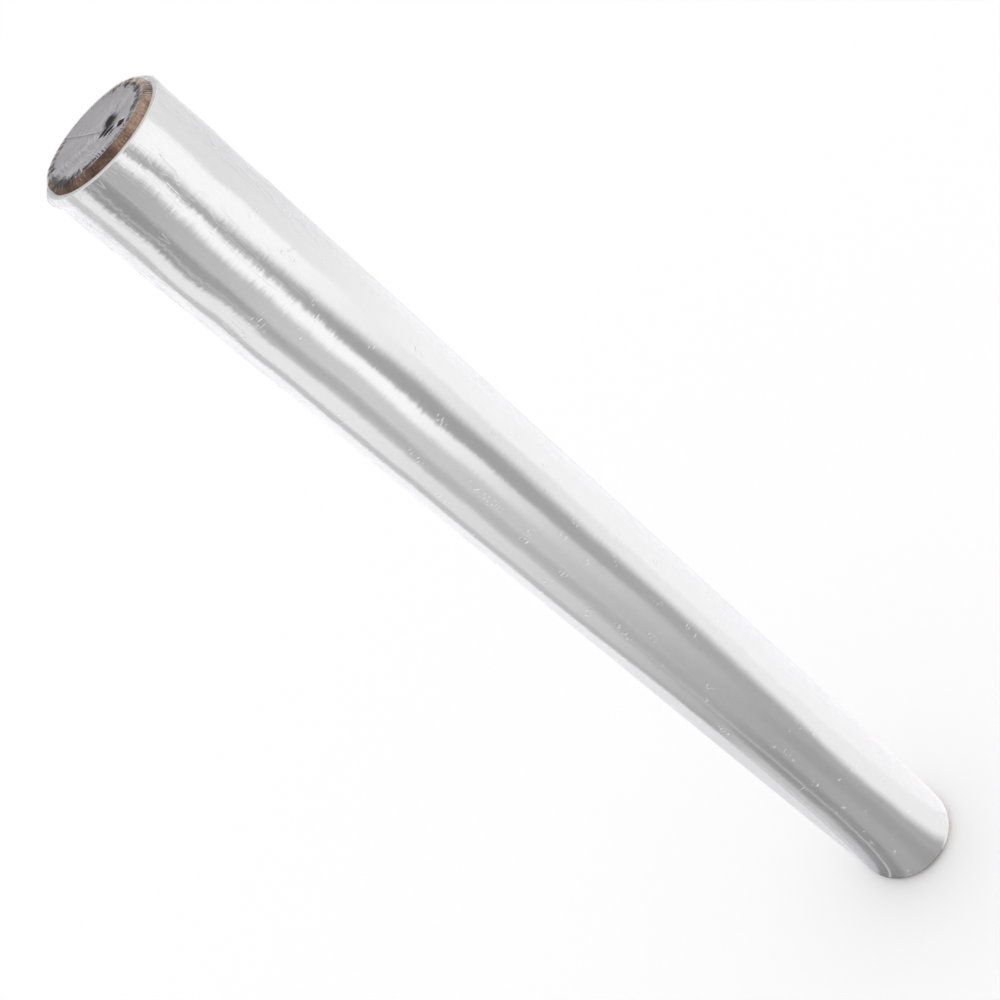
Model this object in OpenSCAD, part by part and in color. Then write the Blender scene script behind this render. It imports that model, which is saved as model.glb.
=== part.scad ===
// Roll of clear film, wound on a cardboard core and sealed in a shrunk clear wrap.
// It stands on one end: Z runs along the core, and Z = 0 is the face that it stands on.

/* [Film] */
// Width of the film, which is the length of the wound part
film_w = 1000; // [300:10:1500]
// How thick the turns of film lie on the core
film_wound = 4.4; // [2:0.2:30]
// Height of the step along the roll where the last turn ends
tail_step = 0.3; // [0.1:0.1:0.8]
// Where that step lies around the roll, in degrees from X
tail_angle = 250; // [0:5:355]
// Rings that the turns leave on each end
end_rings = 4; // [2:1:7]
// Depth of the hollows between those rings
ring_depth = 0.3; // [0.1:0.1:0.6]

/* [Core] */
// Bore of the cardboard core
core_bore = 76; // [65:0.5:155]
// Wall of the core
core_wall = 5; // [4:0.5:12]
// How far the core stands out of the film at each end
core_proud = 5; // [2:0.5:8]
// How far the outer rims of the core are rounded off, where the tight wrap pulls them in
core_round = 3; // [0.5:0.5:3]
// Bevel that the saw leaves around the bore
core_bevel = 0.4; // [0.1:0.1:0.8]
// Play between the core and the first turn
core_play = 0.1; // [0.05:0.05:0.3]

/* [Wrap] */
// Thickness of the wrap
wrap_t = 0.35; // [0.2:0.05:1]
// Play between the wrap and what it covers
wrap_play = 0.15; // [0.1:0.05:0.5]
// Gathers around each end
gathers = 84; // [24:2:90]
// How far the tallest gather stands out
gather_h = 1; // [0.2:0.1:2]
// How far the gathers run down the side of the film
gather_down = 14; // [5:1:60]
// How far the gathers run in over the mouth of the core
gather_in = 6; // [2:1:12]
// Width of the hole that let the air out while the wrap shrank
vent_d = 8; // [3:0.5:12]
// How far that hole lies off the middle of the end, on the side away from the weld
vent_offset = 17; // [0:1:26]

/* [Seam] */
// Width of the weld that closes the wrap along the roll
seam_w = 1.6; // [0.8:0.1:4]
// How far the weld stands out of the wrap
seam_h = 0.3; // [0.1:0.1:1]
// Where the weld lies around the roll, in degrees from X
seam_angle = 110; // [0:5:355]

/* [Hidden] */
core_r = core_bore / 2 + core_wall;
core_l = film_w + 2 * core_proud;
wound_r = core_r + core_play;
film_r = wound_r + film_wound;

// The wrap's lowest face is at 0, and the core stands on the inside of it
skin_off = wrap_play + wrap_t;
core_z = skin_off;
film_z = core_z + core_proud;
film_top = film_z + film_w;
core_top = core_z + core_l;

// Radius of the taut part of the wrap over the mouth, out to where the gathers begin
taut_r = core_bore / 2 - gather_in;

// Where the rounding of the core's rim begins, and the degrees of each step that it is drawn in
flat_r = core_r - core_round;
round_step = 30;

// The wrap follows the first of those steps, then runs straight on towards the film's edge
leave_angle = 90 - round_step;

// The weld stops its own width short of the gathers and of the hole
seam_short = gather_down + seam_w;

// Straight pieces around the film, and around the wrap with one ridge and one valley to a gather
film_sides = 144;
wrap_sides = 2 * gathers;
cut = 1;

function polar(r, a) = [r * cos(a), r * sin(a)];

// Outline of the wound film: a spiral that grows by one step in a full turn
function film_outline() = [
    for (i = [0 : film_sides])
        polar(film_r - tail_step * (1 - i / film_sides), tail_angle + 360 * i / film_sides)
];

// Hollows between the rings of turns, cut from one end upwards
module ring_hollows() {
    pitch = (film_r - tail_step - wound_r) / (end_rings + 0.5);
    for (i = [0 : end_rings - 1]) {
        depth = ring_depth * (i % 2 == 0 ? 1 : 0.6);
        inner = wound_r + (i + 0.5) * pitch;
        rotate_extrude($fn = 96)
            translate([inner, -cut])
                square([pitch / 2, depth + cut]);
    }
}

// Points of the rounding between two directions, about its middle at the height middle_z
function rim_arc(middle_z, from, to) = [
    for (a = [from : round_step : to])
        [flat_r + core_round * cos(a), middle_z + core_round * sin(a)]
];

module core_tube() {
    color("#8a6b50")
        translate([0, 0, core_z])
            rotate_extrude($fn = 96)
                polygon(concat(
                    [
                        [core_bore / 2, core_bevel],
                        [core_bore / 2 + core_bevel, 0]
                    ],
                    rim_arc(core_round, -90, 0),
                    rim_arc(core_l - core_round, 0, 90),
                    [
                        [core_bore / 2 + core_bevel, core_l],
                        [core_bore / 2, core_l - core_bevel]
                    ]
                ));
}

module film_roll() {
    color("#e9edef")
        translate([0, 0, film_z])
            difference() {
                linear_extrude(film_w)
                    polygon(film_outline());
                translate([0, 0, -cut])
                    cylinder(r = wound_r, h = film_w + 2 * cut, $fn = 96);
                ring_hollows();
                translate([0, 0, film_w])
                    mirror([0, 0, 1])
                        ring_hollows();
            }
}

// Stations of the wrap's skin from the hole in its upper end to the face it stands on, for a
// skin that lies off away from the core and the film. Each is [radius, height, share of the
// gathers' height, lift direction above the horizontal, share of the hole's offset].
function upper_stations(off) = [
    [vent_d / 2, core_top + off, 0, 90, 1],
    [(vent_d / 2 + taut_r) / 2, core_top + off, 0, 90, 0.5],
    [taut_r, core_top + off, 0, 90, 0],
    [core_bore / 2 - gather_in / 3, core_top + off, 0.35, 90, 0],
    [flat_r, core_top + off, 0.45, 80, 0],
    [
        flat_r + (core_round + off) * cos(leave_angle),
        core_top - core_round + (core_round + off) * sin(leave_angle),
        0.7, leave_angle, 0
    ],
    [(core_r + film_r + 1.5 * off) / 2, (core_top + film_top + 1.5 * off) / 2, 1, 45, 0],
    [film_r + off, film_top + off / 2, 0.6, 20, 0],
    [film_r + off, film_top - gather_down / 3, 0.3, 0, 0],
    [film_r + off, film_top - gather_down, 0, 0, 0]
];
function lower_stations(off) = [
    [film_r + off, film_z + gather_down, 0, 0, 0],
    [film_r + off, film_z + gather_down / 3, 0.3, 0, 0],
    [film_r + off, film_z - off / 2, 0.6, 0, 0],
    [(core_r + film_r + 1.5 * off) / 2, (core_z + film_z - 1.5 * off) / 2, 1, 0, 0],
    [
        flat_r + (core_round + off) * cos(leave_angle),
        core_z + core_round - (core_round + off) * sin(leave_angle),
        0.7, 0, 0
    ],
    [flat_r, core_z - off, 0, 0, 0]
];
function stations(off) = concat(upper_stations(off), lower_stations(off));

// Height of the skin's ridge or valley number k: valleys lie at 0, and no two ridges are alike
function gather_lift(k) = k % 2 == 0 ? 0 : gather_h * (0.7 + 0.3 * sin(k * 137.5));

function skin_point(s, k) =
    let (
        lift = s[2] * gather_lift(k),
        flat = polar(s[0] + lift * cos(s[3]), 360 * k / wrap_sides),
        slide = polar(s[4] * vent_offset, seam_angle + 180)
    )
    [flat.x + slide.x, flat.y + slide.y, s[1] + lift * sin(s[3])];

function skin_points(off) = [
    for (s = stations(off), k = [0 : wrap_sides - 1]) skin_point(s, k)
];

// Faces of the band between ring a and ring b, facing outwards when b lies below a
function band(a, b) = [
    for (k = [0 : wrap_sides - 1])
        let (next = (k + 1) % wrap_sides)
        [a * wrap_sides + k, a * wrap_sides + next, b * wrap_sides + next, b * wrap_sides + k]
];
function halves(quads) = [
    for (q = quads) each [[q[0], q[1], q[2]], [q[0], q[2], q[3]]]
];

// The wrap is one closed surface: an outer skin, an inner skin and the hole's rim between them
module wrap_skin() {
    rings = len(stations(0));
    outer = [for (i = [0 : rings - 2]) each band(i, i + 1)];
    inner = [for (i = [rings : 2 * rings - 2]) each band(i + 1, i)];
    rim = band(rings, 0);
    outer_floor = [for (k = [0 : wrap_sides - 1]) (rings - 1) * wrap_sides + k];
    inner_floor = [for (k = [wrap_sides - 1 : -1 : 0]) (2 * rings - 1) * wrap_sides + k];
    polyhedron(
        points = concat(skin_points(skin_off), skin_points(wrap_play)),
        faces = concat(halves(concat(outer, inner, rim)), [outer_floor, inner_floor])
    );
}

// The weld runs along the side, and across the middle of the upper end to the hole
module wrap_seam() {
    root = wrap_play + wrap_t / 2;
    from_hole = vent_d / 2 + seam_w - vent_offset;
    rotate(seam_angle) {
        translate([film_r + root, -seam_w / 2, film_z + seam_short])
            cube([wrap_t / 2 + seam_h, seam_w, film_w - 2 * seam_short]);
        translate([from_hole, -seam_w / 2, core_top + root])
            cube([taut_r - seam_w - from_hole, seam_w, wrap_t / 2 + seam_h]);
    }
}

module shrink_wrap() {
    color("#dfe6ea", 0.35)
        union() {
            wrap_skin();
            wrap_seam();
        }
}

core_tube();
film_roll();
shrink_wrap();
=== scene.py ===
# %% [markdown]
# # A roll of clear film, sealed in a shrunk wrap
#
# The part is a cardboard core with clear film wound on it, and a thin clear wrap shrunk over
# both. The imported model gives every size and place. Here the three pieces are made again as the
# eye sees them: the board with its plies, the film with its silvery sheen, and the wrap with its
# gathers, creases and air hole.

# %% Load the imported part
import math
import random

import bmesh
import bpy
from mathutils import Matrix, Vector, noise


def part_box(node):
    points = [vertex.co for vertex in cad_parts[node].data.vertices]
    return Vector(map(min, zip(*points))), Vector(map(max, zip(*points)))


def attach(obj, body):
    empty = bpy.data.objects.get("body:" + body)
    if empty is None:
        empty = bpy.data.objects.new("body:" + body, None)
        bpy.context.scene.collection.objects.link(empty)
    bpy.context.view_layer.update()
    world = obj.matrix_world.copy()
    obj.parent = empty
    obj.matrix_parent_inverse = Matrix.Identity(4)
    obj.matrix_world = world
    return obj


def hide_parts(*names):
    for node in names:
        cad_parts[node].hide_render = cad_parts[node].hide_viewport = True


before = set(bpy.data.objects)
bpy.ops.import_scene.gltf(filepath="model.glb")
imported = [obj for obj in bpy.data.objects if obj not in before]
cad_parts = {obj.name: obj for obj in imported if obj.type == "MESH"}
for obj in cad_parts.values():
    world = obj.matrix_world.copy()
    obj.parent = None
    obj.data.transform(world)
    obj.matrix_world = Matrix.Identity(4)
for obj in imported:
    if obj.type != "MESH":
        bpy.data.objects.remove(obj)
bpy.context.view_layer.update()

# %% [markdown]
# Every length below is in metres, so a millimetre gets a name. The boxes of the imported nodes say
# where the core and the film begin and end. The pieces and the patterns are placed from these.

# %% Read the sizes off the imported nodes
MM = 0.001
core_low, core_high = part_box("core_tube")
film_low, film_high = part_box("film_roll")
CORE_R = core_high.x
BORE_R = CORE_R - 5 * MM
CORE_ROUND = 3 * MM
FLAT_R = CORE_R - CORE_ROUND
FILM_R = 47.5 * MM
CORE_BOTTOM, CORE_TOP = core_low.z, core_high.z
FILM_BOTTOM, FILM_TOP = film_low.z, film_high.z
MIDDLE = (FILM_BOTTOM + FILM_TOP) / 2
print("core radius", CORE_R, "film from", FILM_BOTTOM, "to", FILM_TOP)

# %% [markdown]
# All three pieces are round. The quickest way to make such a piece is to draw half of its section
# as a chain of points, and to roll a flat grid into a tube whose rows follow that chain. Each
# vertex then knows its angle and its place in the section, which makes folds and waves easy to
# add. The grid also gives even UVs: metres around the girth, and metres along the section.

# %% Helpers that roll up a section and finish a piece
AXIS = Vector((0, 0, 1))
TURN = 2 * math.pi


def smooth(x):
    """An even rise from 0 to 1 for x from 0 to 1."""
    x = min(1.0, max(0.0, x))
    return x * x * (3 - 2 * x)


def bell(x):
    """1 at 0, falling softly to nothing at 1 and -1."""
    return smooth(1 - abs(x))


def around(angle):
    """The level direction at this angle."""
    return Vector((math.cos(angle), math.sin(angle), 0))


def apart(angle, degrees):
    """How many degrees an angle lies from a given place around the roll."""
    return (math.degrees(angle) - degrees + 180) % 360 - 180


def lengths(section):
    """How far along the section each of its points lies."""
    run = [0.0]
    for (r0, z0), (r1, z1) in zip(section, section[1:]):
        run.append(run[-1] + math.hypot(r1 - r0, z1 - z0))
    return run


def rolled(section, steps, shape):
    """A tube with a row for each (radius, height) point; shape(angle, row) gives each place."""
    bm = bmesh.new()
    rows = len(section) - 1
    bmesh.ops.create_grid(bm, x_segments=steps, y_segments=rows, size=1)
    bm.verts.index_update()
    layer = bm.loops.layers.uv.new("unrolled")
    run = lengths(section)
    place = {}
    for vert in bm.verts:
        column = round((vert.co.x + 1) / 2 * steps)
        row = round((vert.co.y + 1) / 2 * rows)
        place[vert.index] = (column, row)
    for face in bm.faces:
        for loop in face.loops:
            column, row = place[loop.vert.index]
            loop[layer].uv = (column / steps * TURN * FILM_R, run[row])
    for vert in bm.verts:
        column, row = place[vert.index]
        vert.co = shape(column % steps / steps * TURN, row)
    bmesh.ops.remove_doubles(bm, verts=bm.verts, dist=1e-6)
    bmesh.ops.recalc_face_normals(bm, faces=bm.faces)
    return bm


def finish_piece(bm, name, node, material):
    """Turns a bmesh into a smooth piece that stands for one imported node."""
    mesh = bpy.data.meshes.new(name)
    bm.to_mesh(mesh)
    bm.free()
    mesh.materials.append(material)
    mesh.polygons.foreach_set("use_smooth", [True] * len(mesh.polygons))
    piece = bpy.data.objects.new(name, mesh)
    bpy.context.scene.collection.objects.link(piece)
    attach(piece, "root")
    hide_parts(node)
    print(name, "has", len(mesh.polygons), "faces")


# %% [markdown]
# A material is a small graph. One function adds a node, sets it up and joins its inputs, and one
# turns a web colour into the linear light that Blender works with.

# %% Helpers for materials
def linear(hex_colour):
    """Linear RGBA of a colour written as sRGB hex."""
    parts = [int(hex_colour[i:i + 2], 16) / 255 for i in (1, 3, 5)]
    lit = [p / 12.92 if p <= 0.04045 else ((p + 0.055) / 1.055) ** 2.4 for p in parts]
    return (*lit, 1.0)


def add_node(tree, kind, settings=None, **inputs):
    """Adds a node; settings are its own values, inputs are numbers, colours or sockets."""
    node = tree.nodes.new(kind)
    for key, value in (settings or {}).items():
        setattr(node, key, value)
    for key, value in inputs.items():
        socket = node.inputs[int(key[1:])] if key[1:].isdigit() else node.inputs[key.replace("_", " ")]
        if isinstance(value, bpy.types.NodeSocket):
            tree.links.new(value, socket)
        else:
            socket.default_value = value
    return node


def maths(tree, operation, *values):
    """The result of one math node."""
    inputs = {f"_{i}": value for i, value in enumerate(values)}
    return add_node(tree, "ShaderNodeMath", {"operation": operation}, **inputs).outputs[0]


def mapped(tree, value, low, high, to_low=0.0, to_high=1.0):
    """A value eased from one range into another."""
    node = add_node(tree, "ShaderNodeMapRange", {"interpolation_type": "SMOOTHSTEP"}, Value=value,
                    From_Min=low, From_Max=high, To_Min=to_low, To_Max=to_high)
    return node.outputs["Result"]


def new_material(name):
    """An empty material and its node tree."""
    material = bpy.data.materials.new(name)
    material.use_nodes = True
    material.node_tree.nodes.clear()
    return material, material.node_tree


def ramp(tree, factor, stops):
    """A colour ramp from (place, grey or RGBA) stops."""
    node = add_node(tree, "ShaderNodeValToRGB", Fac=factor)
    elements = node.color_ramp.elements
    while len(elements) < len(stops):
        elements.new(0.5)
    for element, (place, colour) in zip(elements, stops):
        element.position = place
        element.color = colour if len(colour) == 4 else (*colour, 1.0)
    return node


def streaks(tree, unrolled, girth, length, detail=2.0, turn=0.0):
    """Noise drawn out to a size around the girth and a size along the roll."""
    laid = add_node(tree, "ShaderNodeMapping", Vector=unrolled, Rotation=(0, 0, math.radians(turn)),
                    Scale=(1 / girth, 1 / length, 1))
    return add_node(tree, "ShaderNodeTexNoise", {"noise_dimensions": "2D"}, Vector=laid.outputs[0],
                    Scale=1.0, Detail=detail).outputs["Fac"]


# %% [markdown]
# ## Cardboard core
#
# The core is kraft board: strips of brown paper wound in a slant and glued, so its end shows thin
# plies and its side shows a slanting joint between the strips. Kraft is matt and a little uneven.
# The inside of the bore is painted dark grey as shade, which lets the bore look deep. Fibres and
# blotches are two noises of different grain, and one half of the rim is painted darker as shade.

# %% Kraft board
PLY = 0.9 * MM
STRIP_WIDTH = 110 * MM
STRIP_SLANT = 35
FIBRE = 1.5 * MM
BLOTCH = 14 * MM

kraft, tree = new_material("kraft board, spiral wound")
place = add_node(tree, "ShaderNodeTexCoord").outputs["Object"]
unrolled = add_node(tree, "ShaderNodeUVMap", {"uv_map": "unrolled"}).outputs["UV"]
fibres = add_node(tree, "ShaderNodeTexNoise", Vector=place, Scale=1 / FIBRE, Detail=6.0)
blotches = add_node(tree, "ShaderNodeTexNoise", Vector=place, Scale=1 / BLOTCH, Detail=3.0)
across = add_node(tree, "ShaderNodeSeparateXYZ", Vector=place).outputs["X"]
# Painted shade: the board gets darker towards -X, the side turned away from the light.
painted_side_shade = mapped(tree, across, -14 * MM, 26 * MM, 0.50, 0.84)
spot = maths(tree, "MULTIPLY_ADD", fibres.outputs["Fac"], 0.55, 0.2)
tone = maths(tree, "MULTIPLY", spot, blotches.outputs["Fac"])
brown = ramp(tree, maths(tree, "MULTIPLY", tone, painted_side_shade),
             [(0.07, linear("#46352a")), (0.14, linear("#705744")), (0.22, linear("#ab8d77")),
              (0.36, linear("#d8c0ad"))])

# The joint between the strips, and the plies
slanted = add_node(tree, "ShaderNodeMapping", Vector=unrolled,
                   Rotation=(0, 0, math.radians(STRIP_SLANT)))
joints = add_node(tree, "ShaderNodeTexWave", {"bands_direction": "Y"}, Vector=slanted.outputs[0],
                  Scale=TURN / STRIP_WIDTH / 20, Distortion=0.4, Detail=1.0)
joint_line = ramp(tree, joints.outputs["Fac"], [(0.0, (0.45, 0.45, 0.45)), (0.03, (1, 1, 1))])
radius = add_node(tree, "ShaderNodeVectorMath", {"operation": "LENGTH"},
                  _0=add_node(tree, "ShaderNodeVectorMath", {"operation": "MULTIPLY"},
                              _0=place, _1=(1, 1, 0)).outputs[0]).outputs["Value"]
ply_wave = maths(tree, "SINE", maths(tree, "MULTIPLY", radius, TURN / PLY))
lined = add_node(tree, "ShaderNodeMix", {"data_type": "RGBA", "blend_type": "MULTIPLY"},
                 _0=1.0, _6=brown.outputs[0], _7=joint_line.outputs[0])
# Painted shade: inside the bore the board is coloured dark grey, where little light reaches.
outside = mapped(tree, radius, BORE_R + 0.1 * MM, BORE_R + 0.5 * MM)
with_bore_shade = add_node(tree, "ShaderNodeMix", {"data_type": "RGBA"}, _0=outside,
                 _6=linear("#5b5257"), _7=lined.outputs[2])
relief = maths(tree, "MULTIPLY_ADD", ply_wave, 0.35, fibres.outputs["Fac"])
rough_paper = add_node(tree, "ShaderNodeBump", Height=relief, Strength=0.5, Distance=0.2 * MM)
board = add_node(tree, "ShaderNodeBsdfPrincipled", Base_Color=with_bore_shade.outputs[2], Roughness=0.78,
                 Normal=rough_paper.outputs[0])
add_node(tree, "ShaderNodeOutputMaterial", Surface=board.outputs[0])
print("ply", PLY, "strip", STRIP_WIDTH)

# %% [markdown]
# The tube's section is a closed chain, so the tube has an inside, an outside and two rims. The
# saw leaves a small bevel at the bore, and the tight wrap has pulled the outer rims round. The
# rims are slightly uneven.

# %% Core tube
CORE_STEPS = 192
BEVEL = 0.4 * MM
ROUND_STEPS = 6
RIM_UNEVEN = 0.12 * MM
RIM_BUMPS = 2.5 * MM


def rim_arc(r, z, size, start, end, count):
    """Points on an arc about (r, z) from one direction to another, in degrees above level."""
    turns = [math.radians(start + (end - start) * i / count) for i in range(count + 1)]
    return [(r + size * math.cos(t), z + size * math.sin(t)) for t in turns]


core_section = (
    [(BORE_R, CORE_BOTTOM + BEVEL), (BORE_R + BEVEL, CORE_BOTTOM)]
    + rim_arc(FLAT_R, CORE_BOTTOM + CORE_ROUND, CORE_ROUND, -90, 0, ROUND_STEPS)
    + rim_arc(FLAT_R, CORE_TOP - CORE_ROUND, CORE_ROUND, 0, 90, ROUND_STEPS)
    + [(BORE_R + BEVEL, CORE_TOP), (BORE_R, CORE_TOP - BEVEL), (BORE_R, CORE_BOTTOM + BEVEL)]
)


def core_place(angle, row):
    """A point of the core, with its sawn faces a little uneven."""
    r, z = core_section[row]
    point = around(angle) * r + AXIS * z
    if min(z - CORE_BOTTOM, CORE_TOP - z) < BEVEL / 2:
        inward = 1 if z < MIDDLE else -1
        point.z += inward * RIM_UNEVEN * (0.5 + 0.5 * noise.noise(point / RIM_BUMPS))
    return point


core_mesh = rolled(core_section, CORE_STEPS, core_place)
finish_piece(core_mesh, "cardboard_core", "core_tube", kraft)

# %% [markdown]
# ## Wound film
#
# One turn of the film is clear as glass. Hundreds of turns on each other send back a little light
# from every layer, so the roll looks like silvery, slightly milky metal with sharp reflections.
# A Principled shader with a share of metal gives both: the metal mirrors, the rest is milky. The
# ends show the cut edges of the turns as pale frosted glass with a faint painted glow of its own.
#
# Tight winding leaves fine ripples around the girth. They turn what the roll mirrors to and fro,
# so the edges of the reflections look feathered. Such ripples are drawn as a normal map: one
# noise wanders slowly, another is long around the girth and only a millimetre or two along it.

# %% Ripples of tightly wound film
RIPPLE = 1.1 * MM
RIPPLE_GIRTH = 30 * MM
WANDER_GIRTH = 26 * MM
WANDER_LENGTH = 60 * MM
CALM_BELOW = 0.65


def rippled(tree, unrolled, height, wander, ripple, shift):
    """A normal that leans to and fro around the girth, more so towards the upper end."""
    moved = add_node(tree, "ShaderNodeVectorMath", {"operation": "ADD"}, _0=unrolled,
                     _1=(shift, shift, 0)).outputs[0]
    slow = streaks(tree, moved, WANDER_GIRTH, WANDER_LENGTH, detail=1.0, turn=14)
    fast = streaks(tree, moved, RIPPLE_GIRTH, RIPPLE, detail=2.0)
    upper = mapped(tree, height, CALM_BELOW, FILM_TOP, 0.3, 1.0)
    slow_lean = maths(tree, "MULTIPLY", maths(tree, "SUBTRACT", slow, 0.5), wander)
    fast_lean = maths(tree, "MULTIPLY", maths(tree, "SUBTRACT", fast, 0.5), ripple)
    lean = maths(tree, "ADD", maths(tree, "MULTIPLY_ADD", slow_lean, upper, 0.5), fast_lean)
    colour = add_node(tree, "ShaderNodeCombineColor", Red=lean, Green=0.5, Blue=1.0)
    return add_node(tree, "ShaderNodeNormalMap", {"uv_map": "unrolled"},
                    Color=colour.outputs[0]).outputs[0]


# %% Clear film, wound
wound_film, tree = new_material("polypropylene film, wound")
place = add_node(tree, "ShaderNodeTexCoord").outputs["Object"]
height = add_node(tree, "ShaderNodeSeparateXYZ", Vector=place).outputs["Z"]
unrolled = add_node(tree, "ShaderNodeUVMap", {"uv_map": "unrolled"}).outputs["UV"]
leaning = rippled(tree, unrolled, height, wander=0.10, ripple=0.055, shift=0.0)
silvery = add_node(tree, "ShaderNodeBsdfPrincipled", Base_Color=linear("#f3f3f3"), Metallic=0.7,
                   Roughness=0.12, Normal=leaning)
# The cut edges glow faintly by themselves: a painted glow, not a lamp.
frosted = add_node(tree, "ShaderNodeBsdfPrincipled", Base_Color=linear("#f7f9f8"), Roughness=0.45,
                   Emission_Color=linear("#eef2f0"), Emission_Strength=0.05)
cut_edges = mapped(tree, height, FILM_TOP - 0.6 * MM, FILM_TOP - 0.4 * MM)
both_looks = add_node(tree, "ShaderNodeMixShader", _0=cut_edges, _1=silvery.outputs[0],
                      _2=frosted.outputs[0])
add_node(tree, "ShaderNodeOutputMaterial", Surface=both_looks.outputs[0])
print("ripples every", RIPPLE, "along the roll")

# %% [markdown]
# The wound film is a thick ring. Its ends show the edges of the turns as fine rings, and the
# last turn ends in a small step along the roll. Winding leaves the side slightly wavy, and the
# wrap has squeezed the roll a little near its ends.

# %% Squeeze and waves of the side
SQUEEZE = 0.9 * MM
SQUEEZE_LENGTH = 50 * MM
SIDE_WAVE = 0.10 * MM
LONG_WAVE = 90 * MM
SHORT_WAVE = 38 * MM


def squeeze(z):
    """How far the side is drawn in at height z by the wrap's pull over the ends."""
    from_end = min(z - FILM_BOTTOM, FILM_TOP - z)
    share = min(1.0, max(0.0, 1 - from_end / SQUEEZE_LENGTH))
    return SQUEEZE * share * share


def side_wave(angle, z):
    """Slow waves of the side, from -1 to 1."""
    turn = around(angle) * 1.3
    long_part = noise.noise(turn + AXIS * z / LONG_WAVE)
    return long_part + 0.5 * noise.noise(turn * 2.2 + AXIS * z / SHORT_WAVE)


# %% Wound film
FILM_STEPS = 360
SIDE_RINGS = 130
TURN_RINGS = 9
TURN_DEPTH = 0.25 * MM
TAIL_STEP = 0.12 * MM
TAIL_ANGLE = math.radians(250)
EDGE = 0.2 * MM
WOUND_R = CORE_R + 0.1 * MM
film_section = []
for i in range(TURN_RINGS * 2 + 1):
    dip = TURN_DEPTH if i % 2 else 0.0
    film_section.append((WOUND_R + (FILM_R - WOUND_R) * i / (TURN_RINGS * 2), FILM_TOP - dip))
film_section += [(FILM_R, FILM_TOP - EDGE), (FILM_R, FILM_TOP - 3 * EDGE)]
end_rows = len(film_section)
for i in range(1, SIDE_RINGS):
    film_section.append((FILM_R, FILM_TOP + (FILM_BOTTOM - FILM_TOP) * i / SIDE_RINGS))
film_section += [(r, FILM_BOTTOM + FILM_TOP - z) for r, z in film_section[end_rows - 1::-1]]
film_section.append(film_section[0])


def film_place(angle, row):
    """A point of the film: the spiral of the last turn, the squeeze and the slow waves."""
    r, z = film_section[row]
    spiral = ((angle - TAIL_ANGLE) / TURN) % 1.0
    outer = (r - WOUND_R) / (FILM_R - WOUND_R)
    moved = TAIL_STEP * (spiral - 1) - squeeze(z) + SIDE_WAVE * side_wave(angle, z)
    return around(angle) * (r + moved * outer) + AXIS * z


film_mesh = rolled(film_section, FILM_STEPS, film_place)
finish_piece(film_mesh, "wound_film", "film_roll", wound_film)

# %% [markdown]
# ## Shrink wrap
#
# The wrap is a tube of thin clear film, welded along one side, slid over the roll and shrunk with
# hot air. It is drawn taut across the mouths of the core, and what is left over stands up in
# fine gathers over the rims. A sheet this thin shows only by what it mirrors: little when it is
# looked at squarely, most of the light at a low angle. Both faces mirror, so the Fresnel share f
# of one face becomes 2f / (1 + f).
#
# Small long creases run down the side near the upper end. They are ridges cut out of a drawn-out
# noise, with a second noise that gathers them in patches. The sharpest creases and a few short
# nicks across the roll are painted white, as painted glints where the film catches light. The weld
# across the mouth is a narrow line where the film is double, so it lets less light through.
# Around the air hole the film has curled and mirrors little, so the dark bore shows.

# %% Creases of the shrink film
CREASE_GIRTH = 7 * MM
CREASE_LENGTH = 42 * MM
CREASE_SLANT = -16
CREASE_HEIGHT = 0.45 * MM
CRINKLE = 3.2 * MM

shrink_film, tree = new_material("polyolefin shrink film, clear")
place = add_node(tree, "ShaderNodeTexCoord").outputs["Object"]
height = add_node(tree, "ShaderNodeSeparateXYZ", Vector=place).outputs["Z"]
unrolled = add_node(tree, "ShaderNodeUVMap", {"uv_map": "unrolled"}).outputs["UV"]
leaning = rippled(tree, unrolled, height, wander=0.06, ripple=0.08, shift=0.37)
lines = streaks(tree, unrolled, CREASE_GIRTH, CREASE_LENGTH, detail=1.5, turn=CREASE_SLANT)
off_line = maths(tree, "ABSOLUTE", maths(tree, "SUBTRACT", lines, 0.5))
ridge = maths(tree, "SUBTRACT", 1.0, maths(tree, "MULTIPLY", off_line, 24.0))
sharp = maths(tree, "POWER", maths(tree, "MAXIMUM", ridge, 0.0), 2.0)
patches = mapped(tree, streaks(tree, unrolled, 22 * MM, 50 * MM, detail=1.0), 0.50, 0.58)
high_up = maths(tree, "MULTIPLY", mapped(tree, height, FILM_TOP - 190 * MM, FILM_TOP - 40 * MM),
                mapped(tree, height, FILM_TOP - 4 * MM, FILM_TOP, 1.0, 0.0))
creases = maths(tree, "MULTIPLY", maths(tree, "MULTIPLY", sharp, patches), high_up)
crinkles = streaks(tree, unrolled, 3 * CRINKLE, CRINKLE)
relief = maths(tree, "MULTIPLY_ADD", crinkles, 0.015, creases)
bump = add_node(tree, "ShaderNodeBump", Height=relief, Strength=1.0, Distance=CREASE_HEIGHT,
                Normal=leaning).outputs[0]
print("creases about", CREASE_LENGTH, "long")

# %% [markdown]
# The weld runs from the far rim of the mouth to the air hole. A place's distance from that line
# is one dot product and its distance along the line another, so both marks are exact.

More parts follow.
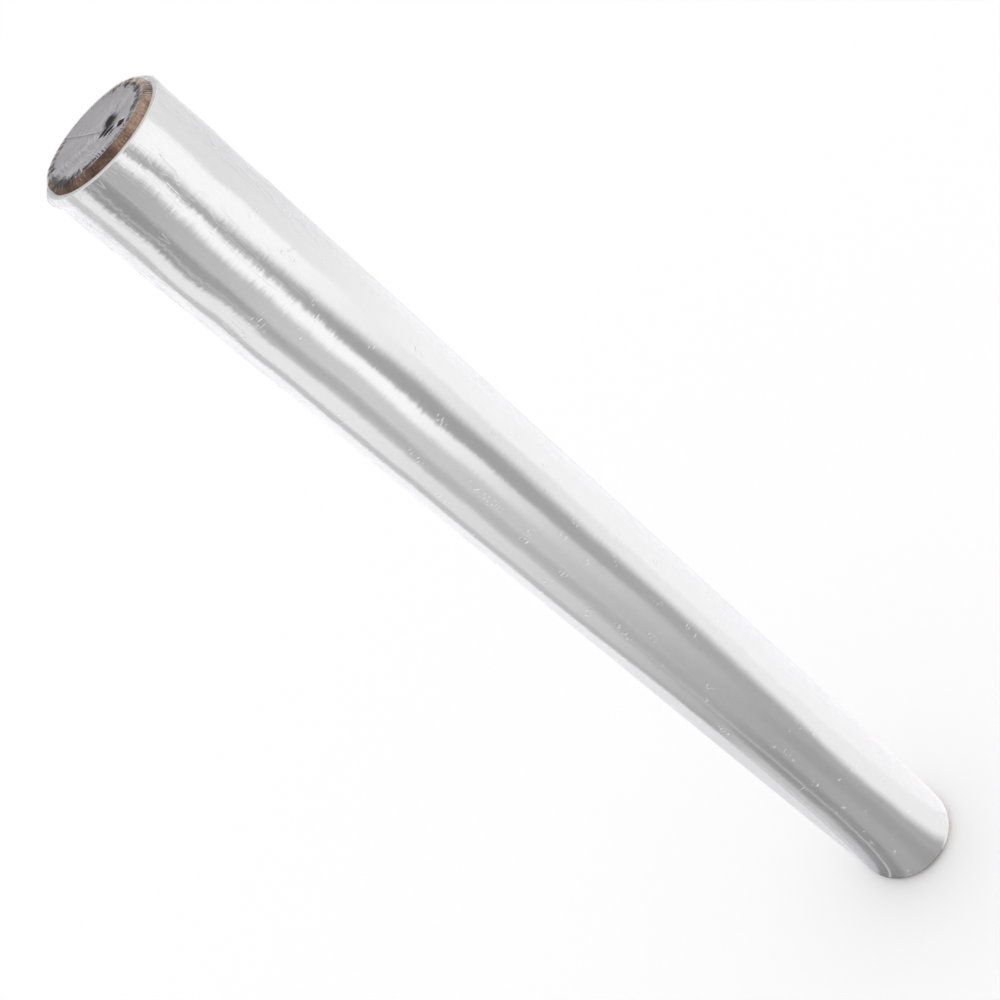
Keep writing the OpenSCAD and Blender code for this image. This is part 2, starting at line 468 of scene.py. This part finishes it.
# %% Weld across the mouth
WELD_FROM = Vector((-13.2, 30, 0)) * MM
WELD_TO = Vector((1.0, -8.0, 0)) * MM
WELD_HALF = 0.5 * MM
WELD_FADE = 3 * MM
weld_length = (WELD_TO - WELD_FROM).length
weld_way = (WELD_TO - WELD_FROM).normalized()
weld_side = weld_way.cross(AXIS)
from_start = add_node(tree, "ShaderNodeVectorMath", {"operation": "SUBTRACT"}, _0=place,
                      _1=WELD_FROM).outputs[0]
off_weld = add_node(tree, "ShaderNodeVectorMath", {"operation": "DOT_PRODUCT"}, _0=from_start,
                    _1=weld_side).outputs["Value"]
along_weld = add_node(tree, "ShaderNodeVectorMath", {"operation": "DOT_PRODUCT"}, _0=from_start,
                      _1=weld_way).outputs["Value"]
weld_line = mapped(tree, maths(tree, "ABSOLUTE", off_weld), 0.2 * MM, 1.6 * WELD_HALF, 1.0, 0.0)
weld_end = mapped(tree, along_weld, weld_length - WELD_FADE, weld_length, 1.0, 0.0)
on_top = mapped(tree, height, CORE_TOP - 1 * MM, CORE_TOP)
weld = maths(tree, "MULTIPLY", maths(tree, "MULTIPLY", weld_line, weld_end), on_top)
print("weld length", weld_length)

# %% [markdown]
# The air hole is a slit, and beside its lower end the film has a few short wrinkles. Both are
# marked by ovals. Stretching space with a Mapping node turns an oval into a circle of size 1.

# %% Curled film around the air hole
VENT_AT = Vector((10.2, -10.2, 0)) * MM
SLIT_TURN = math.radians(246)
CURLED_HALF = (12 * MM, 8 * MM)
WRINKLES_AT = Vector((4.4, -17.6, 0)) * MM
WRINKLES_TURN = math.radians(300)
WRINKLES_HALF = (9.5 * MM, 4.2 * MM)
WRINKLE = 5.0 * MM


def oval(tree, place, at, turn, half_sizes):
    """How far a place lies from the middle of a level oval: 1 on its outline."""
    laid = add_node(tree, "ShaderNodeMapping", {"vector_type": "TEXTURE"}, Vector=place,
                    Location=at, Rotation=(0, 0, turn), Scale=(*half_sizes, 1.0)).outputs[0]
    flat = add_node(tree, "ShaderNodeVectorMath", {"operation": "MULTIPLY"}, _0=laid, _1=(1, 1, 0))
    return add_node(tree, "ShaderNodeVectorMath", {"operation": "LENGTH"},
                    _0=flat.outputs[0]).outputs["Value"]


from_slit = oval(tree, place, VENT_AT, SLIT_TURN, CURLED_HALF)
soft_patch = mapped(tree, from_slit, 0.3, 1.0, 1.0, 0.0)
from_wrinkles = oval(tree, place, WRINKLES_AT, WRINKLES_TURN, WRINKLES_HALF)
back = add_node(tree, "ShaderNodeSeparateXYZ", Vector=place).outputs["Y"]
wave = maths(tree, "MULTIPLY", back, TURN / WRINKLE)
wrinkles = maths(tree, "MULTIPLY", mapped(tree, from_wrinkles, 0.45, 1.0, 1.0, 0.0),
                 mapped(tree, maths(tree, "SINE", wave), -0.1, 0.6))
curled = maths(tree, "MULTIPLY", maths(tree, "MAXIMUM", soft_patch, wrinkles), on_top)
print("air hole at", VENT_AT)

# %% [markdown]
# Now the shader. Layer Weight's Facing goes into the usual formula for a clear plastic, which
# mirrors 4 % of the light squarely and all of it at the lowest angle. That share picks between a
# clear sheet and a mirror. Painted glints, white marks, lie on top of both.

# %% Shrink film
SQUARE_ON = 0.04
NICK_GIRTH = 5 * MM
NICK_LENGTH = 0.7 * MM
slant = add_node(tree, "ShaderNodeLayerWeight", Blend=0.5, Normal=bump)
fifth = maths(tree, "POWER", slant.outputs["Facing"], 5.0)
one_face = maths(tree, "MULTIPLY_ADD", fifth, 1 - SQUARE_ON, SQUARE_ON)
both_faces = maths(tree, "DIVIDE", maths(tree, "MULTIPLY", one_face, 2.0),
                   maths(tree, "ADD", one_face, 1.0))
duller = maths(tree, "MULTIPLY", maths(tree, "MULTIPLY_ADD", weld, -0.2, 1.0),
               maths(tree, "MULTIPLY_ADD", curled, -0.85, 1.0))
mirrored = maths(tree, "MULTIPLY", both_faces, duller)
let_through = ramp(tree, weld, [(0.0, (0.97, 0.97, 0.97)), (1.0, (0.75, 0.71, 0.73))])
clear = add_node(tree, "ShaderNodeBsdfTransparent", Color=let_through.outputs[0])
mirror = add_node(tree, "ShaderNodeBsdfGlossy", Color=linear("#fbf9fd"), Roughness=0.06, Normal=bump)
sheet = add_node(tree, "ShaderNodeMixShader", _0=mirrored, _1=clear.outputs[0],
                 _2=mirror.outputs[0])
# Painted glints: a few short nicks and the sharpest creases get a white diffuse finish that stands in
# for highlights.
nicks = mapped(tree, streaks(tree, unrolled, NICK_GIRTH, NICK_LENGTH, detail=0.0, turn=8),
               0.72, 0.86)
nick_spots = mapped(tree, streaks(tree, unrolled, 12 * MM, 24 * MM, detail=0.0), 0.74, 0.78)
nick_spots = maths(tree, "MULTIPLY", nick_spots,
                   mapped(tree, height, FILM_TOP - 90 * MM, FILM_TOP - 50 * MM, 1.0, 0.0))
sharpest = mapped(tree, creases, 0.75, 1.0)
painted_glints = maths(tree, "MAXIMUM", maths(tree, "MULTIPLY", nicks, nick_spots), sharpest)
# The white of the painted glints.
white = add_node(tree, "ShaderNodeBsdfDiffuse", Color=(0.95, 0.95, 0.95, 1))
marked = add_node(tree, "ShaderNodeMixShader", _0=painted_glints, _1=sheet.outputs[0],
                  _2=white.outputs[0])
add_node(tree, "ShaderNodeOutputMaterial", Surface=marked.outputs[0])
print("nodes of the shrink film", len(tree.nodes))

# %% [markdown]
# The section starts at the air hole and runs out over the mouth, over the core's rounded rim,
# straight to the edge of the film and down the side. Rings lie close together where there are
# gathers. The mouth and its rim have many small folds, so they are a fine mesh of their own. The
# top of the side is a coarser one, and the long side and the foot are the coarsest.

# %% Section of the wrap
RIM_STEPS = 1400
UPPER_STEPS = 840
LOWER_STEPS = 420
PLAY = 0.3 * MM
VENT_R = 3.2 * MM
TAUT_R = 30 * MM
SIDE_R = FILM_R + PLAY
UPPER_END = FILM_TOP - 50 * MM
FINE_END = FILM_TOP - 20 * MM
FOOT_START = FILM_BOTTOM + 16 * MM
MOUTH_ROWS, RIM_ROWS, ARC_ROWS, SHOULDER_ROWS = 27, 20, 3, 9
SIDE_ROWS, FOOT_ROWS = 64, 7


def stretch(start, end, count):
    """Points from start towards end, without the end itself."""
    return [tuple(a + (b - a) * i / count for a, b in zip(start, end)) for i in range(count)]


skin_top = CORE_TOP + PLAY
upper_arc = rim_arc(FLAT_R, CORE_TOP - CORE_ROUND, CORE_ROUND + PLAY, 90, 60, ARC_ROWS)
upper_section = (
    stretch((VENT_R, skin_top), (TAUT_R, skin_top), MOUTH_ROWS)
    + stretch((TAUT_R, skin_top), (FLAT_R, skin_top), RIM_ROWS)
    + upper_arc[:-1]
    + stretch(upper_arc[-1], (SIDE_R, FILM_TOP), SHOULDER_ROWS)
    + stretch((SIDE_R, FILM_TOP), (SIDE_R, FINE_END), 20)
    + stretch((SIDE_R, FINE_END), (SIDE_R, UPPER_END), 15)
    + [(SIDE_R, UPPER_END)]
)
skin_foot = CORE_BOTTOM - PLAY
lower_arc = rim_arc(FLAT_R, CORE_BOTTOM + CORE_ROUND, CORE_ROUND + PLAY, -60, -90, 3)
lower_section = (
    stretch((SIDE_R, UPPER_END), (SIDE_R, FOOT_START), SIDE_ROWS)
    + stretch((SIDE_R, FOOT_START), (SIDE_R, FILM_BOTTOM), FOOT_ROWS)
    + stretch((SIDE_R, FILM_BOTTOM), lower_arc[0], 4)
    + lower_arc[:-1]
    + stretch(lower_arc[-1], (BORE_R, skin_foot), 2)
    + stretch((BORE_R, skin_foot), (0, skin_foot), 5)
    + [(0.0, skin_foot)]
)
print("rings of the wrap", len(upper_section), len(lower_section))

# %% [markdown]
# Each gather has its own height and its own reach over the mouth and down the side, from a seeded
# random draw, so that no two are alike and each run gives the same wrap. A gather leans a little
# to one side, and its ridge is narrow. A slow noise pushes the gathers along the rim, which makes
# their spacing uneven.
#
# Inside the mouth a gather grows from nothing to its peak. It is low where it is pressed on the
# board, rises again over the free shoulder and dies out down the side. Places around the roll are
# given in degrees: the ones that look taller in the real thing have a bell-shaped rise there.

# %% Gathers
GATHERS = 140
GATHER_H = 1.5 * MM
draw = random.Random(11)
gather_height = [draw.uniform(0.3, 1.0) for _ in range(GATHERS)]
gather_in = [draw.uniform(2.5, 6.5) * MM for _ in range(GATHERS)]
gather_down = [
    draw.uniform(4, 14) * MM * (1 + 1.5 * (draw.random() > 0.85)) for _ in range(GATHERS)
]
PEAK = 0.42
SHARPNESS = 3.0
ON_SHOULDER = 0.55
AT_FOOT = 0.45
BOARD_START = 0.8 * MM
BOARD_END = 5 * MM


def gather_at(angle, d):
    """Which gather lies at this place, and how far up it: 0 in the valley, 1 on the ridge."""
    turn = angle / TURN * GATHERS + 1.6 * noise.noise(around(angle) * 5)
    turn += 0.5 * noise.noise(around(angle) * 9 + AXIS * d / (7 * MM)) - 0.04 * d / MM
    number = math.floor(turn)
    part = turn - number
    rise = smooth(part / PEAK) if part < PEAK else smooth((1 - part) / (1 - PEAK))
    return number % GATHERS, rise ** SHARPNESS


def rim_strength(angle):
    """How tall the gathers inside the mouth are, by their place around the roll."""
    return (0.19 + 0.05 * bell(apart(angle, 320) / 50) + 1.5 * bell(apart(angle, 258) / 38)
            + 0.06 * noise.noise(around(angle) * 3))


def gather_lift(angle, d, r, upper):
    """How far the gathers lift the skin, d along the section from the edge of the bore."""
    number, rise = gather_at(angle, d)
    tall = gather_height[number]
    pressed = 0.12 + 0.45 * bell(apart(angle, 208) / 42) + 0.14 * bell(apart(angle, 80) / 90)
    reach = gather_in[number] * (1 + 0.35 * bell(apart(angle, 330) / 50))
    peak = -0.35 * reach
    if d < peak:
        share = rim_strength(angle) * smooth((d + reach) / (reach + peak))
    elif d < BOARD_START:
        fall = smooth((d - peak) / (BOARD_START - peak))
        share = rim_strength(angle) * (1 - fall) + pressed * fall
    elif r < SIDE_R - PLAY:
        share = pressed + (ON_SHOULDER - pressed) * smooth((d - BOARD_END) / (4 * MM))
    else:
        share = ON_SHOULDER * max(0.0, 1 - (d - EDGE_D) / gather_down[number]) ** 1.5
    return GATHER_H * tall * rise * share * (1.0 if upper else AT_FOOT)


upper_run = lengths(upper_section)
bore_d = upper_run[MOUTH_ROWS] + BORE_R - TAUT_R
EDGE_ROW = MOUTH_ROWS + RIM_ROWS + ARC_ROWS + SHOULDER_ROWS
EDGE_D = upper_run[EDGE_ROW] - bore_d
print("gathers", GATHERS, "spacing at the rim", TURN * CORE_R / GATHERS, "edge at", EDGE_D)

# %% [markdown]
# The taut skin over the mouth is not quite flat. It sags a little, and it has a few short
# wrinkles beside the air hole, a small bulge towards the rim and a raised weld line.

# %% Relief of the taut skin
SAG = 0.4 * MM
WRINKLE_H = 0.4 * MM
WELD_H = 0.25 * MM
BULGE_AT = Vector((13.6, -25.4, 0)) * MM
BULGE_R = 4.5 * MM
BULGE_H = 1.1 * MM
UNEVEN = 0.05 * MM


def mouth_relief(point):
    """How high the taut skin over the mouth lies at this place."""
    local = Matrix.Rotation(-WRINKLES_TURN, 3, "Z") @ (point - WRINKLES_AT)
    near = bell(local.x / (11 * MM)) * bell(local.y / (6 * MM))
    relief = WRINKLE_H * near * math.sin(TURN * point.y / WRINKLE)
    relief += BULGE_H * bell((point - BULGE_AT).length / BULGE_R)
    off_weld = abs((point - WELD_FROM).dot(weld_side))
    before_end = (point - WELD_FROM).dot(weld_way) < weld_length
    relief += WELD_H * bell(off_weld / (2 * WELD_HALF)) * before_end
    relief -= SAG * max(0.0, 1 - (point.length / BORE_R) ** 2)
    return relief + UNEVEN * noise.noise(point * 120)


# %% [markdown]
# Now the points get their places. Each is lifted along the direction that the skin faces there,
# which is worked out from its neighbours in the section. The inner rings slide over to the air
# hole, which lies off the middle and is drawn out into a slit. On one side of the roll the film
# is left in many fine pleats over the shoulder, and a corner of it stands out from the edge.

# %% Shape the upper end of the wrap
SLIT = (1.9, 1.0)
slit_way = Matrix.Rotation(SLIT_TURN, 3, "Z")
HOLE_LIP = 0.5 * MM
FLARE = 3.6 * MM
FLARE_AT, FLARE_WIDTH, FLARE_REACH = 200, 34, 11 * MM
FINE_PLEATS = 210
FINE_PLEAT_H = 0.3 * MM
PLEATS_AT, PLEATS_WIDTH = 212, 34
SHOULDER_BUMPS = 0.12 * MM


def section_facing(section, row):
    """The way the skin faces at a row, as (outward, upward) shares."""
    r0, z0 = section[max(0, row - 1)]
    r1, z1 = section[min(len(section) - 1, row + 1)]
    size = math.hypot(r1 - r0, z1 - z0)
    return -(z1 - z0) / size, (r1 - r0) / size


def upper_place(angle, row):
    """A point of the upper end of the wrap, by its row in the upper section."""
    r, z = upper_section[row]
    d = upper_run[row] - bore_d
    out, up = section_facing(upper_section, row)
    lift = gather_lift(angle, d, r, True)
    edge = smooth((d - BOARD_END) / (EDGE_D - BOARD_END))
    lift += edge * (SIDE_WAVE * side_wave(angle, z) - squeeze(min(z, FILM_TOP)))
    pleats = 0.5 + 0.5 * math.sin(angle * FINE_PLEATS + 5 * noise.noise(around(angle) * 12))
    pleated = bell(apart(angle, PLEATS_AT) / PLEATS_WIDTH) * bell((d - BOARD_END) / (9 * MM))
    lift += FINE_PLEAT_H * pleats * pleated
    flared = bell(apart(angle, FLARE_AT) / FLARE_WIDTH) * bell((d - EDGE_D) / FLARE_REACH)
    lift += FLARE * flared
    bumps = noise.noise(around(angle) * 60 + AXIS * d / (6 * MM))
    lift += SHOULDER_BUMPS * smooth(d / MM) * bumps
    point = around(angle) * (r + out * lift) + AXIS * (z + up * lift)
    if r < TAUT_R:
        share = (TAUT_R - r) / (TAUT_R - VENT_R)
        local = slit_way.inverted() @ (around(angle) * r)
        local.x *= 1 + (SLIT[0] - 1) * share
        local.y *= 1 + (SLIT[1] - 1) * share
        wobble = 1 + 0.12 * share * noise.noise(around(angle) * 2.5)
        point = slit_way @ local * wobble + VENT_AT * share + AXIS * (z + HOLE_LIP * share ** 5)
    if r < BORE_R:
        point.z += mouth_relief(Vector((point.x, point.y, 0)))
    return point


def upper_side_place(angle, row):
    """The same below the edge of the film, where the rows are counted from that edge."""
    return upper_place(angle, row + EDGE_ROW)


mouth_mesh = rolled(upper_section[:EDGE_ROW + 1], RIM_STEPS, upper_place)
finish_piece(mouth_mesh, "shrink_wrap_mouth", "shrink_wrap", shrink_film)
upper_mesh = rolled(upper_section[EDGE_ROW:], UPPER_STEPS, upper_side_place)
finish_piece(upper_mesh, "shrink_wrap_upper_side", "shrink_wrap", shrink_film)

# %% [markdown]
# The long side only has the slow waves, and the foot has low gathers that never reach below the
# face that the roll stands on. The weld runs down the side as a low ridge.

# %% Shape the side and the foot of the wrap
WELD_ANGLE = 110
SIDE_WELD_H = 0.3 * MM
SIDE_WELD_HALF = 1.2
lower_run = lengths(lower_section)
foot_d = lower_run[SIDE_ROWS + FOOT_ROWS]


def lower_place(angle, row):
    """A point of the side or the foot of the wrap."""
    r, z = lower_section[row]
    d = EDGE_D + max(0.0, foot_d - lower_run[row])
    lift = 0.0
    if r > CORE_R:
        lift = gather_lift(angle, d, r, False) - squeeze(max(z, FILM_BOTTOM))
        lift += SIDE_WAVE * side_wave(angle, z)
    if FILM_BOTTOM + 20 * MM < z < UPPER_END - 1 * MM:
        lift += SIDE_WELD_H * bell(apart(angle, WELD_ANGLE) / SIDE_WELD_HALF)
    return around(angle) * (r + lift) + AXIS * z


lower_mesh = rolled(lower_section, LOWER_STEPS, lower_place)
finish_piece(lower_mesh, "shrink_wrap_side", "shrink_wrap", shrink_film)

# %% [markdown]
# ## Studio
#
# The roll stands on a white floor under an even white sky, so that each colour renders about as
# it is written. Glossy things show what stands around them. Here that is a ring of upright
# cloths, some white and some grey, as a photographer puts flags and reflectors around bottles,
# under a dark hood. They are seen only in reflections.

# %% Sky and floor
world = bpy.data.worlds.new("white sky")
bpy.context.scene.world = world
world.use_nodes = True
sky = world.node_tree.nodes["Background"]
sky.inputs["Color"].default_value = (1, 1, 1, 1)
sky.inputs["Strength"].default_value = 1.0

white_floor, tree = new_material("white studio floor")
paint = add_node(tree, "ShaderNodeBsdfPrincipled", Base_Color=(1, 1, 1, 1), Roughness=0.9,
                 Specular_IOR_Level=0.0)
add_node(tree, "ShaderNodeOutputMaterial", Surface=paint.outputs[0])
FLOOR_SIZE = 40
bm = bmesh.new()
bmesh.ops.create_grid(bm, x_segments=1, y_segments=1, size=FLOOR_SIZE / 2)
floor_mesh = bpy.data.meshes.new("floor")
bm.to_mesh(floor_mesh)
bm.free()
floor_mesh.materials.append(white_floor)
floor = bpy.data.objects.new("floor", floor_mesh)
bpy.context.scene.collection.objects.link(floor)

# %% [markdown]
# A cloth is a part of a cylinder around the roll, made by spinning an upright edge through the
# cloth's width. Its place is counted in degrees around the roll from the camera's side, which is
# -Y. The curved side of the roll mirrors a place about twice as far round as itself. The foot of
# a cloth spreads over the floor up to the roll.

# %% Helpers for the pieces of the studio
def stage_piece(bm, name, material):
    """A piece of the studio that only reflections can see."""
    mesh = bpy.data.meshes.new(name)
    bm.to_mesh(mesh)
    bm.free()
    mesh.materials.append(material)
    shape = bpy.data.objects.new(name, mesh)
    bpy.context.scene.collection.objects.link(shape)
    shape.visible_camera = False
    shape.visible_diffuse = False
    shape.visible_transmission = False
    shape.visible_shadow = False


def spun(outline, start, end):
    """A bmesh of an upright outline spun from start to end degrees."""
    bm = bmesh.new()
    first = Matrix.Rotation(math.radians(-90 - end), 3, "Z")
    points = [bm.verts.new(first @ Vector((r, 0, z))) for r, z in outline]
    edges = [bm.edges.new(pair) for pair in zip(points, points[1:])]
    bmesh.ops.spin(bm, geom=points + edges, cent=(0, 0, 0), axis=AXIS,
                   angle=math.radians(end - start), steps=max(2, round((end - start) / 2)))
    return bm


# %% [markdown]
# A cloth glows by itself, brighter or darker with height. Its upright sides fade out, so that its
# reflection has soft edges, and a side can be cut back by a number of degrees at some heights.
# The cloths stand one in front of the other in layers, the next one a centimetre nearer and a
# millimetre higher at its foot, so that none of them touch.

# %% Cloth
CLOTH_R = 0.30
CLOTH_TOP = 1.17
FOOT_R = 0.045
CLOTH_GAIN = 1.15
LAYER_GAP = 10 * MM
FOOT_GAP = 1 * MM
CUT_SPAN = 40
UNCUT = ((0.0, 0), (1.0, 0))


def cloth(name, start, end, levels, fades=(0, 0), layer=0, edge=UNCUT, tail=UNCUT):
    """An upright cloth from start to end degrees; levels are (height in metres, brightness).

    edge and tail are lists of (height, degrees): how far the starting and the ending side are
    cut back at each height.
    """
    glow, tree = new_material(name + " cloth")
    place = add_node(tree, "ShaderNodeTexCoord").outputs["Object"]
    height = add_node(tree, "ShaderNodeSeparateXYZ", Vector=place)
    level = ramp(tree, height.outputs["Z"], [(z, (b, b, b)) for z, b in levels])
    light = add_node(tree, "ShaderNodeEmission", Color=level.outputs[0], Strength=CLOTH_GAIN)
    middle = math.radians(-90 - (start + end) / 2)
    turned = add_node(tree, "ShaderNodeVectorRotate", {"rotation_type": "Z_AXIS"}, Vector=place,
                      Angle=-middle)
    level_place = add_node(tree, "ShaderNodeSeparateXYZ", Vector=turned.outputs[0])
    turn = maths(tree, "ARCTAN2", level_place.outputs["Y"], level_place.outputs["X"])
    half = math.radians((end - start) / 2)
    shown = 1.0
    for side, fade, cuts in ((-1, fades[1], tail), (1, fades[0], edge)):
        if fade:
            stops = [(z, (degrees / CUT_SPAN,) * 3) for z, degrees in cuts]
            cut_back = ramp(tree, height.outputs["Z"], stops).outputs[0]
            to_side = maths(tree, "MULTIPLY_ADD", turn, -side, half)
            to_side = maths(tree, "MULTIPLY_ADD", cut_back, -math.radians(CUT_SPAN), to_side)
            part = mapped(tree, to_side, 0.0, math.radians(fade))
            shown = maths(tree, "MULTIPLY", part, shown)
    gone = add_node(tree, "ShaderNodeBsdfTransparent")
    mixed = add_node(tree, "ShaderNodeMixShader", _0=shown, _1=gone.outputs[0], _2=light.outputs[0])
    add_node(tree, "ShaderNodeOutputMaterial", Surface=mixed.outputs[0])
    r = CLOTH_R - layer * LAYER_GAP
    lowest = (1 + layer) * FOOT_GAP
    stage_piece(spun([(FOOT_R, lowest), (r, lowest), (r, CLOTH_TOP)], start, end), name, glow)


# %% [markdown]
# The photograph's roll mirrors a grey tent on its left, a bright window in front with a dark flag
# beside it, white boards on the right and behind, and a few darker cloths between them. The hood
# over all of it is what the upper end mirrors where its folds turn towards the camera.

# %% Cloths around the roll, and the hood
HOOD_TOP = 1.40
cloth("grey tent", -16, 124, [(0.0, 0.25), (0.14, 0.29), (0.4, 0.47), (0.66, 0.55), (0.9, 0.31)])
cloth("back board", 94, 172, [(0.0, 0.72), (0.3, 0.88), (0.6, 0.97)], fades=(10, 0), layer=1,
      edge=((0.0, 0), (0.2, 0), (0.4, 10)))
cloth("side board", -150, -62, [(0.0, 0.95), (0.62, 0.95), (0.85, 0.72)])
cloth("bright card", -66, -20, [(0.0, 0.87), (0.3, 0.84), (0.53, 0.76), (0.66, 0.87), (0.8, 1.0)],
      fades=(8, 4), layer=1)
cloth("window light", -9, 22, [(0.0, 0.19), (0.14, 0.31), (0.4, 0.53), (0.62, 1.02)], fades=(7, 12),
      layer=2, tail=((0.0, 0), (0.7, 0), (0.8, 5)))
cloth("dark screen", 38, 82, [(0.0, 0.13), (0.1, 0.24), (0.5, 0.37), (0.7, 0.30), (0.9, 0.1)],
      fades=(10, 14), layer=3)
cloth("light board", 59, 103, [(0.0, 0.45), (0.1, 0.3), (0.42, 0.62), (0.66, 0.82)], fades=(11, 9),
      layer=4, edge=((0.0, 14), (0.1, 5), (0.3, 0), (0.72, 0), (0.85, 8)))
cloth("far flag", 84, 118, [(0.0, 0.6), (0.1, 0.26), (0.4, 0.43), (0.66, 0.47)], fades=(7, 8),
      layer=5, edge=((0.0, 4), (0.14, 0), (0.35, 10)), tail=((0.0, 16), (0.14, 15), (0.35, 0)))
cloth("light slit", 57, 63, [(0.0, 0.42), (0.5, 0.42)], fades=(3, 3), layer=6)
cloth("flag", -44, -4, [(0.0, 0.26), (0.3, 0.25), (0.6, 0.19), (0.9, 0.24)], fades=(19, 8),
      layer=7, edge=((0.0, 11), (0.06, 4), (0.3, 0), (0.68, 0), (0.8, 13)))

hood_cloth, tree = new_material("dark hood cloth")
hood_glow = add_node(tree, "ShaderNodeEmission", Color=(0.05, 0.05, 0.055, 1), Strength=1.0)
add_node(tree, "ShaderNodeOutputMaterial", Surface=hood_glow.outputs[0])
hood_outline = [(CLOTH_R, CLOTH_TOP), (CLOTH_R, HOOD_TOP), (1 * MM, HOOD_TOP)]
stage_piece(spun(hood_outline, 0, 360), "hood", hood_cloth)
print("hood from", CLOTH_TOP, "to", HOOD_TOP)

# %% [markdown]
# ## Camera
#
# The photograph looks down at the roll from one side, and the camera is rolled so that the roll
# lies across the picture. Its place and lens come from matching the roll's outline. The three
# directions below are the camera's right, up and back, as the columns of its turn.

# %% Camera
LENS = 57.32
CAMERA_AT = Vector((0.0, -0.95095, 1.28964))
RIGHT = Vector((0.65463785, -0.43274358, -0.61982439))
UP = Vector((0.75589786, 0.38365438, 0.53049764))
BACK = Vector((0.00822889, -0.81580777, 0.57826462))

camera_data = bpy.data.cameras.new("camera")
camera_data.lens = LENS
camera_data.sensor_width = 36
camera = bpy.data.objects.new("camera", camera_data)
turn = Matrix((RIGHT, UP, BACK)).transposed()
camera.matrix_world = Matrix.Translation(CAMERA_AT) @ turn.to_4x4()
bpy.context.scene.collection.objects.link(camera)
bpy.context.scene.camera = camera
bpy.context.scene.view_settings.view_transform = "Standard"
